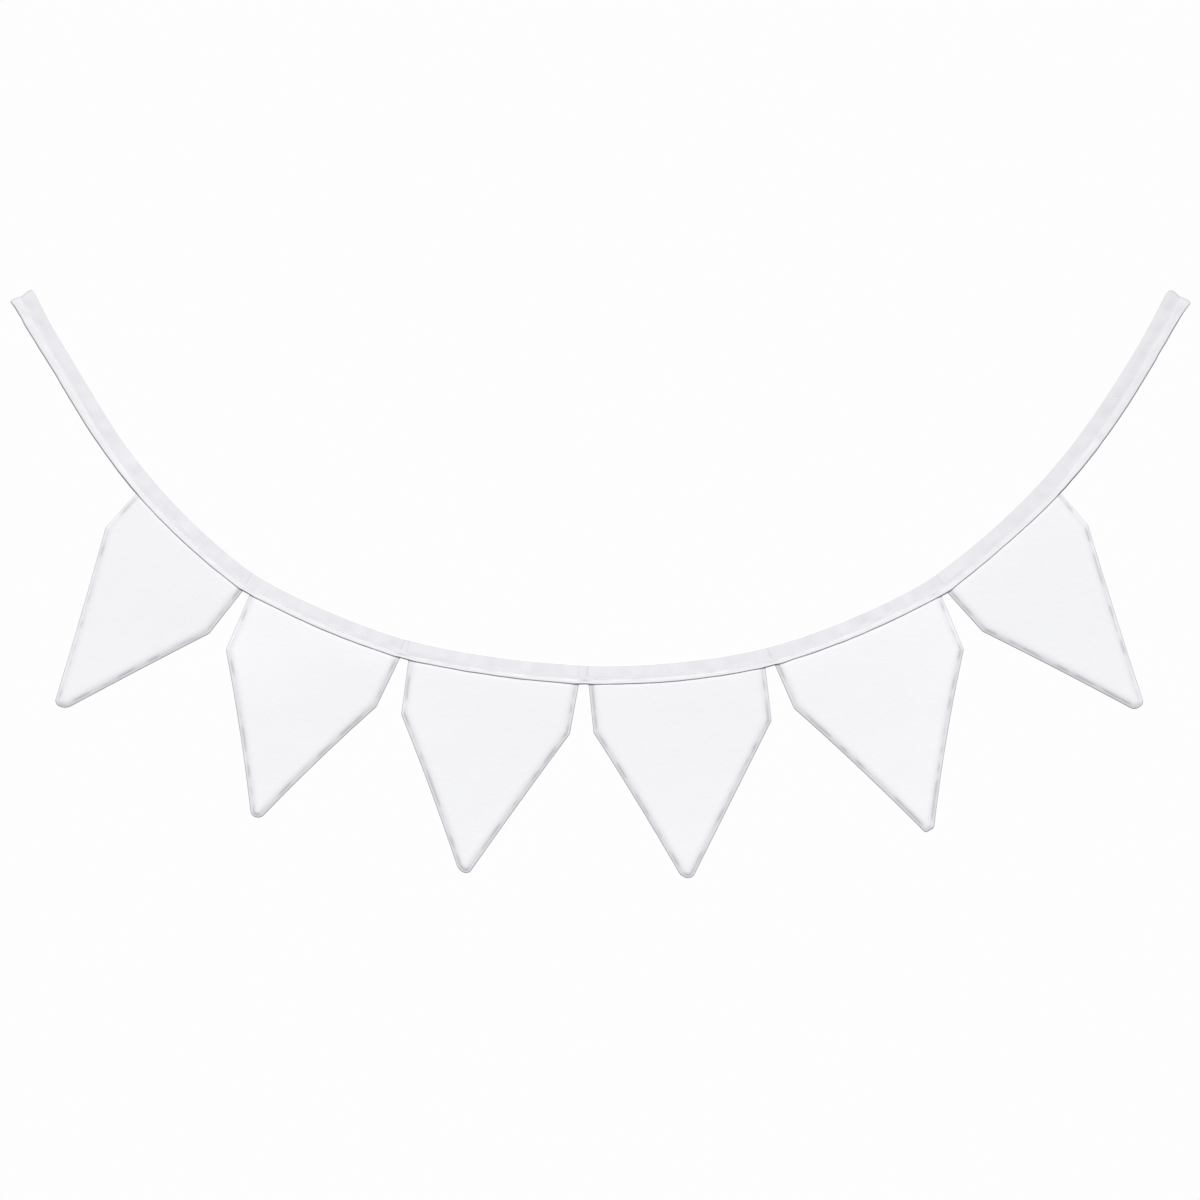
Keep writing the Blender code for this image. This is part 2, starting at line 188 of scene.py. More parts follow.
class Value:
    """A number or a vector in a material: sums and products of such values add the nodes for them."""

    def __init__(self, nodes, socket):
        self.nodes = nodes
        self.socket = socket

    def maths(self, operation, *values):
        return self.nodes.add("ShaderNodeMath", {"operation": operation}, values)

    def __add__(self, other):
        return self.maths("ADD", self, other)

    def __sub__(self, other):
        return self.maths("SUBTRACT", self, other)

    def __rsub__(self, other):
        return self.maths("SUBTRACT", other, self)

    def __mul__(self, other):
        return self.maths("MULTIPLY", self, other)

    __radd__ = __add__
    __rmul__ = __mul__

    def sine(self):
        return self.maths("SINE", self)

    def size(self):
        return self.maths("ABSOLUTE", self)

    def ramp(self, low, high, kind="LINEAR"):
        """Rises from 0 to 1 as this value goes from low to high."""
        sockets = {"Value": self, "From Min": low, "From Max": high}
        return self.nodes.add("ShaderNodeMapRange", {"interpolation_type": kind}, sockets)

    def step(self, low, high):
        return self.ramp(low, high, "SMOOTHSTEP")


class Nodes:
    """The nodes of a material, or of the surround."""

    def __init__(self, tree):
        self.tree = tree

    def feed(self, socket, value):
        if isinstance(value, Value):
            self.tree.links.new(value.socket, socket)
        else:
            socket.default_value = value

    def add(self, kind, settings, sockets=(), output=0):
        """Adds a node: its settings first, then the values or links of its sockets, by name or in order."""
        node = self.tree.nodes.new(kind)
        for name, value in settings.items():
            setattr(node, name, value)
        for key, value in sockets.items() if isinstance(sockets, dict) else enumerate(sockets):
            self.feed(node.inputs[key], value)
        return Value(self, node.outputs[output])


class Finish(Nodes):
    """A cloth's material, built up on its Principled shader."""

    def __init__(self, name, roughness):
        self.material = bpy.data.materials.new(name)
        self.material.use_nodes = True
        super().__init__(self.material.node_tree)
        self.shader = self.tree.nodes["Principled BSDF"]
        self.shader.inputs["Roughness"].default_value = roughness
        self.shader.inputs["Specular IOR Level"].default_value = CLOTH_SHEEN

    def attribute(self, name):
        return self.add("ShaderNodeAttribute", {"attribute_name": name}, output="Fac")

    def cloth_plane(self):
        """The place on the flat cloth, in metres along and across it."""
        uv = self.add("ShaderNodeUVMap", {"uv_map": "cloth"})
        split = self.add("ShaderNodeSeparateXYZ", {}, [uv]).socket.node
        return Value(self, split.outputs["X"]), Value(self, split.outputs["Y"])

    def mottle(self, scale, detail=2.0):
        """A cloudy value round 0, from about -0.5 to 0.5."""
        place = self.add("ShaderNodeTexCoord", {}, output="Object")
        sockets = {"Vector": place, "Scale": scale, "Detail": detail}
        return self.add("ShaderNodeTexNoise", {}, sockets, "Fac") - 0.5

    def mix(self, factor, first, second):
        """From one colour to another. A Mix node's sockets for colours are numbers 6 and 7, and 2 out."""
        sockets = {0: factor, 6: first, 7: second}
        return self.add("ShaderNodeMix", {"data_type": "RGBA"}, sockets, 2)

    def scaled(self, colour, amount):
        """A colour times a number."""
        sockets = {0: colour, "Scale": amount}
        return self.add("ShaderNodeVectorMath", {"operation": "SCALE"}, sockets)

    def finish(self, colour, height, relief):
        """Feeds the base colour, and a height of 0 to 1 as a bump this deep (metres)."""
        self.feed(self.shader.inputs["Base Color"], colour)
        sockets = {"Strength": 1.0, "Distance": relief, "Height": height}
        self.feed(self.shader.inputs["Normal"], self.add("ShaderNodeBump", {}, sockets))
        return self.material


def weave(along, across, thread):
    """Height of a plain weave, 0 to 1: each crossing is a small mound."""
    turn = math.pi / thread
    return ((along * turn).sine() * (across * turn).sine()).size()


def smooth(share):
    share = min(max(share, 0.0), 1.0)
    return share * share * (3 - 2 * share)


def from_table(table, place):
    """A value from a table of (place, value) rows, eased from row to row."""
    for (start, low), (end, high) in zip(table, table[1:]):
        if place <= end:
            return low + (high - low) * smooth((place - start) / (end - start))
    return table[-1][1]


def run_of(angle):
    return math.radians(angle - LEFT_END) * MEAN_RADIUS


def angle_of(run):
    return LEFT_END + math.degrees(run / MEAN_RADIUS)


solid_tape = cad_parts["heading_tape"].data
solid_points = [vert.co for vert in solid_tape.vertices]
tape_tree = BVHTree.FromPolygons(solid_points, [face.vertices for face in solid_tape.polygons])


def outward(angle):
    turn = math.radians(angle)
    return Vector((math.sin(turn), 0.0, -math.cos(turn)))


def solid_edges(angle):
    """How far the solid tape's fold and its lower edge are from the middle of the swag."""
    way = outward(angle)
    below = SWAG_CENTRE + way * REACH - Vector((0.0, PROBE_DEPTH, 0.0))
    fold = tape_tree.ray_cast(SWAG_CENTRE, way)[3]
    return Vector((fold, REACH - tape_tree.ray_cast(below, -way)[3]))


def tape_edges(angle):
    """The same, evened out over a degree, and carried on straight past the solid's rounded ends."""
    inside = min(max(angle, LEFT_END + ROUNDED), RIGHT_END - ROUNDED)
    edges = sum((solid_edges(inside + near) for near in (-EVENED, 0.0, EVENED)), Vector((0.0, 0.0))) / 3
    if inside == angle:
        return edges
    before = tape_edges(inside - math.copysign(SLOPE_OVER, angle - inside))
    return edges + (edges - before) * abs(angle - inside) / SLOPE_OVER


def tape_point(angle, height, depth=0.0):
    """A point this high above the tape's lower edge, and this far behind the middle of its thickness."""
    radius = tape_edges(angle)[1] - height
    return SWAG_CENTRE + outward(angle) * radius + Vector((0.0, depth, 0.0))


def fullness(angle):
    """1 where the tape holds a pennant, 0 where it runs empty."""
    past = max(SIDES[0][0] - angle, angle - SIDES[-1][1], 0.0)
    return 1 - smooth(math.radians(past) * MEAN_RADIUS / CLOSING)


def parted(angle):
    """1 where a pennant holds the tape's lower edges apart, 0 at its sides and between the pennants."""
    inside = max(min(angle - left, right - angle) for left, right in SIDES)
    return smooth(math.radians(inside) * MEAN_RADIUS / OPENING)


def section(full):
    """The tape's section at this fullness."""
    return Section(*(empty + (filled - empty) * full for empty, filled in zip(EMPTY, FULL)))


def rolled(run):
    """How far the lower edges curl inwards: less near the cut ends."""
    beyond = run_of(RIGHT_END) - run
    if run < beyond:
        return LEFT_UNROLLED + (1 - LEFT_UNROLLED) * smooth(run / LEFT_UNROLLING)
    return RIGHT_UNROLLED + (1 - RIGHT_UNROLLED) * smooth(beyond / RIGHT_UNROLLING)


def leaf(run, width, stitch):
    """One leaf of the fold as (height, depth), up its outer side from the lower edge to the fold."""
    angle = angle_of(run)
    edge, curl, strip, puff, band, top, fold = section(fullness(angle))
    edge = EMPTY.edge + (edge - EMPTY.edge) * parted(angle)
    curl = EMPTY.curl + (curl - EMPTY.curl) * parted(angle)
    edge = strip + (edge - strip) * rolled(run)
    strip_top = stitch - CHANNEL
    rows = []
    for share in CURL_ROWS:
        rows.append((curl * share, edge + (strip - edge) * (1 - (1 - share) ** CURL_ROUND)))
    for share in STRIP_ROWS:
        rows.append((curl + (strip_top - curl) * share, strip + puff * math.sin(math.pi * share)))
    for share, dip in CHANNEL_ROWS:
        level = strip + (band - strip) * (share + 1) / 2
        rows.append((stitch + CHANNEL * share, level - CHANNEL_DEPTH * dip))
    band_foot, band_top = stitch + CHANNEL, width - fold
    for share in BAND_ROWS:
        rows.append((band_foot + (band_top - band_foot) * share, band + (top - band) * share ** 2))
    for turn in FOLD_ROWS:
        turn = math.radians(turn)
        rows.append((width - fold * (1 - math.sin(turn)), top * math.cos(turn)))
    return rows


def bump(offset, half):
    """1 in the middle of a soft bump, falling to nothing at about twice its half width."""
    return math.exp(-(offset / half) ** 2)


def drawn_in(puckers, run):
    """How deep a row of puckers or ripples is at this run along the tape."""
    return sum(p.depth * MM * bump(run - p.run * MM, p.half * MM) for p in puckers)


def by_chance(run, depth, step, row):
    """A depth that comes and goes at random along the tape, the same each time."""
    return depth * noise.noise(Vector((run / step, row, NOISE_LEVEL)))


def creased(run, rise):
    """How deep the creases are at this run, and this share of the way from the stitching to the fold."""
    reached = [crease for crease in CREASES if rise < crease.reach]
    depth = sum(crease.depth * MM * bump(run - crease.run * MM, CREASE_HALF) for crease in reached)
    return depth * smooth(rise * CREASE_GROWTH)


def leant(run, rise):
    """How far along the tape the creases lean there."""
    return sum(c.lean * MM * rise * max(1 - abs(run - c.run * MM) / LEAN_REACH, 0.0) for c in CREASES)


def from_rows(table, place):
    """A value from a table of (place, value) rows, straight from row to row."""
    for (start, low), (end, high) in zip(table, table[1:]):
        if place <= end:
            return low + (high - low) * (place - start) / (end - start)
    return table[-1][1]


def end_shape(run, up):
    """How far the nearer cut end moves a point this share of the way up, and how much it is pressed."""
    beyond = run_of(RIGHT_END) - run
    outline, way, distance = (LEFT_CUT, -1, run) if run < beyond else (RIGHT_CUT, 1, beyond)
    near = max(1 - distance / END_REACH, 0.0)
    return from_rows(outline, up) * MM * near * way, near ** 2


def tape_columns():
    """Where the sheet's columns stand along the tape: even steps, and closer ones at each sharp crease."""
    steps = round(run_of(RIGHT_END) / COLUMN)
    even = [run_of(RIGHT_END) * i / steps for i in range(steps + 1)]
    clear = (CREASE_COLUMNS[-1] + CREASE_CLEAR) * MM
    kept = [run for run in even if all(abs(run - c.run * MM) > clear for c in CREASES)]
    return sorted(kept + [(c.run + near) * MM for c in CREASES for near in CREASE_COLUMNS])


def shade_of(run, height, width, angle, sag, crease):
    """How much darker the cloth is painted here: along its run, by painted shade at its edges and in its
    hollows, less a painted highlight along the fold.
    """
    from_end = min(run, run_of(RIGHT_END) - run)
    # Painted shade at the lower edges, the fold and the cut ends, and in hollows and creases.
    lower_edge = EDGE_SHADE + STEEP_SHADE * smooth((abs(angle) - STEEP_FROM) / STEEP_OVER)
    fold = EMPTY_FOLD_SHADE + (FOLD_SHADE - EMPTY_FOLD_SHADE) * fullness(angle)
    painted_at_edges = lower_edge * (1 - smooth(height / EDGE_SHADE_HEIGHT))
    painted_at_edges += fold * (1 - smooth((width - height) / FOLD_SHADE_DEPTH))
    painted_at_edges = max(painted_at_edges, END_SHADE * (1 - smooth(from_end / END_SHADE_RUN)))
    hollow = HOLLOW_SHADE * sag + CREASE_SHADE * crease
    # A painted highlight along the fold near the right end.
    fold_highlight = FOLD_HIGHLIGHT_SHARE if run > FOLD_HIGHLIGHT_RUN and width - height < FOLD_HIGHLIGHT_DEPTH else 0.0
    return from_rows(DARKER_ALONG_RUN, run / MM) + painted_at_edges + hollow - fold_highlight


def make_heading_tape():
    columns = tape_columns()
    stretches = (CURL_ROWS, STRIP_ROWS, CHANNEL_ROWS, BAND_ROWS, FOLD_ROWS)
    half_rows = sum(len(stretch) for stretch in stretches)
    bm = bmesh.new()
    cloth = bm.loops.layers.uv.new("cloth")
    above_stitching = bm.verts.layers.float.new("above_stitching")
    run_along = bm.verts.layers.float.new("run")
    across_layer = bm.verts.layers.float.new("across")
    shade = bm.verts.layers.float.new("shade")
    # A flat grid, one wide and one high, that is laid over the tape column by column.
    bmesh.ops.create_grid(bm, x_segments=len(columns) - 1, y_segments=2 * half_rows, size=0.5)
    by_column = [[None] * (2 * half_rows + 1) for _ in columns]
    for vert in bm.verts:
        column = round((vert.co.x + 0.5) * (len(columns) - 1))
        row = round((vert.co.y + 0.5) * 2 * half_rows)
        by_column[column][row] = vert

    for run, verts in zip(columns, by_column):
        angle = angle_of(run)
        fold, lower = tape_edges(angle)
        stitch = from_table(STITCHING, angle) * MM
        width = lower - fold
        rows = leaf(run, width, stitch)
        front_and_back = rows + [(width, 0.0)] + rows[::-1]
        puckered = drawn_in(PUCKERS, run) + by_chance(run, PUCKER_CHANCE, PUCKER_STEP, PUCKER_ROW)
        rippled = drawn_in(RIPPLES, run) + by_chance(run, RIPPLE_CHANCE, RIPPLE_STEP, RIPPLE_ROW)
        pucker, ripple = PUCKERED * puckered, RIPPLED * rippled
        wave = noise.noise(Vector((run * UNEVEN_SCALE, WAVE_ROW, 0.0))) - ripple / WAVE_RIPPLE
        for index, (vert, (height, depth)) in enumerate(zip(verts, front_and_back)):
            facing = 1 if index < half_rows else -1
            rise = max(height - stitch, 0.0) / (width - stitch)
            crease = creased(run, rise)
            sag = pucker * (1 - rise) * smooth(rise * PUCKER_GROWTH) if height > stitch else 0.0
            if height < stitch:
                sag = ripple * math.sin(math.pi * height / stitch) ** 2
            if facing < 0:
                sag *= BACK_SHARE
            spot = Vector((run * UNEVEN_SCALE, height * UNEVEN_SCALE, facing * SIDE_ROW))
            uneven = UNEVENNESS * noise.noise(spot)
            shift, pressed = end_shape(run, height / width)
            shift += leant(run, rise)
            give = smooth(depth / EMPTY.top)
            body = max(depth + (uneven - sag - crease) * give, 0.0) * (1 - END_PRESSED * pressed)
            low = 1 - smooth(height / stitch)
            way = outward(angle_of(run + shift))
            radius = lower - height + (EDGE_WAVE * wave + FLARE * (1 - rolled(run))) * low
            vert.co = SWAG_CENTRE + way * radius - Vector((0.0, facing * body, 0.0))
            vert[above_stitching] = height - stitch
            vert[shade] = shade_of(run, height, width, angle, sag, crease)
            vert[run_along] = run
            vert[across_layer] = height if facing > 0 else 2 * width - height

    for edge in bm.edges:
        edge.smooth = not edge.is_boundary
    for face in bm.faces:
        face.smooth = True
        for loop in face.loops:
            loop[cloth].uv = (loop.vert[run_along], loop.vert[across_layer])
    return put_out("heading_tape_cloth", bm)


def put_out(name, bm):
    """The finished piece as an object at the origin."""
    mesh = bpy.data.meshes.new(name)
    bm.to_mesh(mesh)
    bm.free()
    piece = bpy.data.objects.new(name, mesh)
    bpy.context.scene.collection.objects.link(piece)
    return piece


STRIP_COLOUR = (0.845, 0.847, 0.869, 1.0)
SHADED_BAND_COLOUR = (0.790, 0.791, 0.815, 1.0)        # painted a little greyer above the stitching than the same cloth below it: painted shade
BAND_BLEND = 0.8 * MM                           # height over which the one passes into the other
PUCKER_LIGHT_AND_SHADE, CLOUD_SCALE, CLOUD_SHORT = 0.11, 45.0, 3.0     # painted light and shade of small puckers: soft clouds, three times as high as long
TAPE_THREAD, TAPE_RELIEF = 0.36 * MM, 0.011 * MM
STITCH = 3.8 * MM                               # from needle hole to needle hole
# Painted shade in the needle holes along the stitching.
HOLE_SHADE = 0.07
HOLE_HALF, HOLE_FADED = 0.15 * MM, 0.5 * MM     # up and down from the stitching
HOLE_SHARE, HOLE_CLEAR = 0.12, 0.4              # and along it, as shares of a half wave


def needle_holes(along):
    """1 at each needle hole along the stitching, 0 between."""
    swing = (along * (math.pi / STITCH)).sine().size()
    return 1 - swing.step(HOLE_SHARE, HOLE_CLEAR)


def tape_cotton():
    """Off-white tape, close plain weave; painted shade makes the band a little greyer than the strip and
    darkens the needle holes.
    """
    cotton = Finish("tape_cotton_weave", roughness=0.92)
    along, across = cotton.cloth_plane()
    above = cotton.attribute("above_stitching")
    band = above.step(0.0, BAND_BLEND)
    # Soft clouds stretched up the tape paint the light and shade of small puckers.
    place = cotton.add("ShaderNodeCombineXYZ", {}, [along * CLOUD_SHORT, across, 0.0])
    clouds = {"Vector": place, "Scale": CLOUD_SCALE, "Detail": 2.0}
    cloudy = cotton.add("ShaderNodeTexNoise", {}, clouds, "Fac") - 0.5
    # Painted shade in each needle hole.
    hole_shade = HOLE_SHADE * (1 - above.size().step(HOLE_HALF, HOLE_FADED)) * needle_holes(along)
    # The tape's colour, scaled by the painted light and shade of puckers, less painted shade in the needle
    # holes and the sheet's painted shade, darkening and highlight.
    lightness = 1.0 + cloudy * PUCKER_LIGHT_AND_SHADE - hole_shade - cotton.attribute("shade")
    # Above the stitching the cloth takes the greyer colour: painted shade on the same folded tape.
    colour = cotton.scaled(cotton.mix(band, STRIP_COLOUR, SHADED_BAND_COLOUR), lightness)
    return cotton.finish(colour, weave(along, across, TAPE_THREAD), TAPE_RELIEF)


heading_tape = make_heading_tape()
thickness = heading_tape.modifiers.new("cloth", "SOLIDIFY")
thickness.thickness = TAPE_CLOTH
thickness.offset = -1.0
heading_tape.data.materials.append(tape_cotton())
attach(heading_tape, "root")
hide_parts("heading_tape")


# ---- topstitching --------------------------------------------------------------------------------
# White sewing thread, machine lockstitch: the needle thread lies on the front of the tape and the
# bobbin thread on its back, and both go down into the cloth at each needle hole.

THREAD = 0.11 * MM
LOOSE_END = 1.4 * MM            # the stitching starts and stops this far from the tape's ends
SLACK_SINK = 0.07 * MM          # how far the thread sinks in where the tape runs empty
STITCH_UP = 0.4                 # about how far up the tape's ends the stitching runs, as a share
# The thread is painted greyer than white, painted shade of the channel it lies sunk in, and lighter along
# its twist, a painted highlight.
THREAD_COLOUR = (0.790, 0.791, 0.815)
THREAD_SHADE, TWIST_LIGHT = 0.91, 0.04
TWIST_SCALE, TWIST_UNEVEN = 900.0, 2.0
TWIST_RELIEF = 0.02 * MM

# One stitch of the thread: share of its length, and height above the channel (millimetres).
STITCH_POINTS = ((0.0, -0.40), (0.12, -0.08), (0.3, 0.0), (0.7, 0.0), (0.88, -0.08))


def make_stitching(name, facing):
    """One of the two threads: facing is 1 for the front of the tape and -1 for its back."""
    curve = bpy.data.curves.new(name, "CURVE")
    curve.dimensions = "3D"
    curve.bevel_depth = THREAD
    curve.bevel_resolution = 1
    curve.use_fill_caps = True
    points = []
    for number in range(int(run_of(RIGHT_END) / STITCH)):
        for share, lift in STITCH_POINTS:
            run = (number + share) * STITCH
            if not LOOSE_END < run < run_of(RIGHT_END) - LOOSE_END:
                continue
            angle = angle_of(run)
            stitch = from_table(STITCHING, angle) * MM
            here = section(fullness(angle))
            level = (here.strip + here.band) / 2 - CHANNEL_DEPTH - SLACK_SINK * (1 - fullness(angle))
            pressed = end_shape(run, STITCH_UP)[1]
            depth = level * (1 - END_PRESSED * pressed) + lift * MM
            points.append(tape_point(angle, stitch, -facing * depth))
    spline = curve.splines.new("POLY")
    spline.points.add(len(points) - 1)
    for point, place in zip(spline.points, points):
        point.co = (*place, 1.0)
    thread = bpy.data.objects.new(name, curve)
    bpy.context.scene.collection.objects.link(thread)
    return thread


def sewing_thread():
    """Soft white thread with the slant of its twist; painted greyer as painted shade, and lighter on the
    slant as a painted highlight.
    """
    cotton = Finish("sewing_thread", roughness=0.8)
    place = cotton.add("ShaderNodeTexCoord", {}, output="Object")
    twist = {"Vector": place, "Scale": TWIST_SCALE, "Distortion": TWIST_UNEVEN}
    slant = cotton.add("ShaderNodeTexWave", {}, twist, "Fac")
    # Painted highlight along the ridges of the twist.
    colour = cotton.scaled(THREAD_COLOUR, THREAD_SHADE + slant * TWIST_LIGHT)
    return cotton.finish(colour, slant, TWIST_RELIEF)


thread_cotton = sewing_thread()
for thread_name, facing in (("needle_thread", 1), ("bobbin_thread", -1)):
    stitches = make_stitching(thread_name, facing)
    stitches.data.materials.append(thread_cotton)
    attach(stitches, "root")


# ---- pennants ------------------------------------------------------------------------------------
# Two layers of plain white cotton, sewn together round the sides and the blunt tip, turned right side
# out and pressed. The seam allowance inside makes a firm rim, and the raw top edge is in the tape.

# The swag angles (degrees) where the two sides leave the tape; then millimetres across from the
# middle of the top and down from it: shoulders and tip corners; how far from a tip corner its rounding
# starts; how far the two long sides draw in; how far the tip has swung back, the middle stands forward
# and the left side has turned forward; and how much lighter the cloth is (share of its colour).
Pennant = namedtuple(
    "Pennant",
    "left right left_shoulder right_shoulder left_tip right_tip tip_round bows curl belly twist tone",
)
PENNANTS = [
    Pennant(-46.7, -33.7, (-48.8, 30.9), (52.0, 36.6), (6.4, 143.2), (14.6, 140.3), 3.8,
            (0.5, 0.3), -1.1, -0.2, 0.9, -0.007),
    Pennant(-33.0, -18.3, (-55.8, 40.3), (53.6, 36.6), (3.7, 137.9), (10.4, 137.1), 3.0,
            (1.1, 1.1), -0.5, 0.2, 2.0, 0.013),
    Pennant(-17.5, -1.8, (-58.3, 36.7), (57.2, 34.1), (-4.9, 136.4), (2.1, 138.4), 3.4,
            (0.9, 0.4), -0.9, -0.3, 0.9, -0.002),
    Pennant(-0.9, 15.3, (-60.2, 32.6), (61.1, 35.9), (-10.1, 136.0), (-2.9, 137.9), 3.4,
            (0.7, 0.0), -1.8, -0.4, 0.2, -0.008),
    Pennant(16.2, 32.5, (-60.7, 31.9), (61.4, 39.0), (-10.6, 144.3), (-3.9, 143.4), 1.6,
            (1.0, 1.6), -0.9, -0.2, -1.0, 0.013),
    Pennant(33.1, 46.7, (-50.9, 35.3), (51.0, 28.3), (-8.5, 143.9), (-0.8, 145.1), 3.0,
            (0.5, 0.4), -0.4, -0.3, -1.0, 0.001),
]
MARGIN = 10.8 * MM              # depth of a pennant inside the tape
MARGIN_HALF = 0.5 * MM          # half thickness there
MARGIN_RUN = 3.0 * MM           # from the tape's edge up to the pressed margin
PRESSED_RUN = 4.0 * MM          # from the tape's edge down to where a pennant hangs freely
DRAWN_RUN = 18.0 * MM           # and down to its full thickness
DRAWN_SHARE = 0.14              # share of its thickness that the tape takes away
TWIST_FALL = 0.5                # share of the way down where the twist is complete
SHOULDER_ROUND = 0.8 * MM
LONG_CUTS, TOP_CUTS = 10, 18
TIP_SEGMENTS, SHOULDER_SEGMENTS = 7, 3
CLOSE = 0.5                     # corners nearer than this share of a step are made one
MESH_STEP = 2.2 * MM
SAME_PLANE = 0.04 * MM          # a corner this near to a cut across the face is on it

# From one line of the rim's mesh to the next, from the seam inwards (millimetres).
RIM_STEPS = (0.12, 0.18, 0.25, 0.3, 0.35, 0.35, 0.35, 0.35, 0.4, 0.4, 0.45, 0.5, 0.55)

# Section of the turned edge: distance from the rim, half thickness (millimetres). A narrow bead lies
# along the seam, and past it the cloth swells over the seam allowance inside.
RIM = [(0.0, 0.0), (0.1, 0.26), (0.25, 0.42), (0.5, 0.57), (0.8, 0.675), (1.1, 0.76), (1.4, 0.845),
       (1.75, 0.945), (2.1, 1.04), (2.5, 1.125), (3.0, 1.205), (3.4, 1.255), (4.1, 1.335), (4.8, 1.395),
       (5.5, 1.43), (6.2, 1.445), (7.0, 1.45)]
SEAM = 2.1 * MM                 # the seam's draw-ins lie this far from the rim, and are this wide and deep
SEAM_HALF = 1.1 * MM
SEAM_DRAW = 0.12 * MM
SEAM_SCALE = 100.0              # per metre
SEAM_DRAWN, SEAM_SWING = 0.36, 1.8      # how drawn in it is on the whole, and how much that varies
FACE_UNEVEN = 0.10 * MM
FACE_SCALE = 34.0               # per metre
FACE_GROWTH = 8                 # the face is fully uneven from an eighth of the way down


def pennant_frame(row):
    """A pennant's own frame in the swag: its origin in the middle of its top, and the width there."""
    left_top, right_top = tape_point(row.left, 0.0), tape_point(row.right, 0.0)
    chord = right_top - left_top
    tilt = Matrix.Rotation(-math.atan2(chord.z, chord.x), 4, "Y")
    return Matrix.Translation((left_top + right_top) / 2) @ tilt, chord.length


def place_on_tape(point):
    """The swag angle of a point, and its height above the tape's lower edge."""
    spot = point - SWAG_CENTRE
    angle = math.degrees(math.atan2(spot.x, -spot.z))
    return angle, tape_edges(angle)[1] - math.hypot(spot.x, spot.z)


def vert_at(bm, spot):
    return min(bm.verts, key=lambda vert: (vert.co - spot).length)


def divided(bm, start, end, cuts):
    """Divides the edge between two corners, and gives its new vertices, each with its share of the way."""
    edge = bm.edges.get((vert_at(bm, start), vert_at(bm, end)))
    cut = bmesh.ops.subdivide_edges(bm, edges=[edge], cuts=cuts)
    verts = [item for item in cut["geom_inner"] if isinstance(item, bmesh.types.BMVert)]
    return [(vert, (vert.co - start).length / (end - start).length) for vert in verts]


def cut_pennant(bm, row, place, width):
    """The flat shape of a pennant as one face, its corners rounded and its long sides drawn in."""
    def at(across, down):
        return Vector((across, 0.0, -down))

    tops = at(-width / 2, 0.0), at(width / 2, 0.0)
    shoulders = [at(*spot) * MM for spot in (row.left_shoulder, row.right_shoulder)]
    tips = [at(*spot) * MM for spot in (row.left_tip, row.right_tip)]
    margins = [top + (top - shoulder).normalized() * MARGIN for top, shoulder in zip(tops, shoulders)]
    corners = [margins[0], shoulders[0], tips[0], tips[1], shoulders[1], margins[1]]
    bm.faces.new([bm.verts.new(corner) for corner in corners])

    for first, second, bow in ((shoulders[0], tips[0], row.bows[0]), (shoulders[1], tips[1], row.bows[1])):
        inward = (second - first).normalized().cross(Vector((0.0, 1.0, 0.0)))
        if inward.x * (first.x + second.x) > 0:
            inward = -inward
        for vert, share in divided(bm, first, second, LONG_CUTS):
            vert.co += inward * bow * MM * 4 * share * (1 - share)

    left_angle, left_height = place_on_tape(place @ margins[0])
    right_angle, right_height = place_on_tape(place @ margins[1])
    inverse = place.inverted()
    for vert, share in divided(bm, *margins, TOP_CUTS):
        angle = left_angle + (right_angle - left_angle) * share
        height = left_height + (right_height - left_height) * share
        vert.co = inverse @ tape_point(angle, height)

    rounds = ((tips, row.tip_round * MM, TIP_SEGMENTS), (shoulders, SHOULDER_ROUND, SHOULDER_SEGMENTS))
    for rounded, offset, segments in rounds:
        bmesh.ops.bevel(bm, geom=[vert_at(bm, spot) for spot in rounded], offset=offset,
                        offset_type="OFFSET", affect="VERTICES", segments=segments,
                        profile=0.5, material=-1)


def seam_wall(bm):
    """The sewn sides and tip as an upright wall, to measure how far a point is from the rim."""
    sewn = [edge for edge in bm.edges if min(vert.co.z for vert in edge.verts) < -MM]
    corners = []
    for start, end in (edge.verts for edge in sewn):
        for vert, side in ((start, -MM), (start, MM), (end, MM), (end, -MM)):
            corners.append(vert.co + Vector((0.0, side, 0.0)))
    return BVHTree.FromPolygons(corners, [range(4 * i, 4 * i + 4) for i in range(len(sewn))])


def widest_face(bm):
    return max(bm.faces, key=lambda face: face.calc_area())


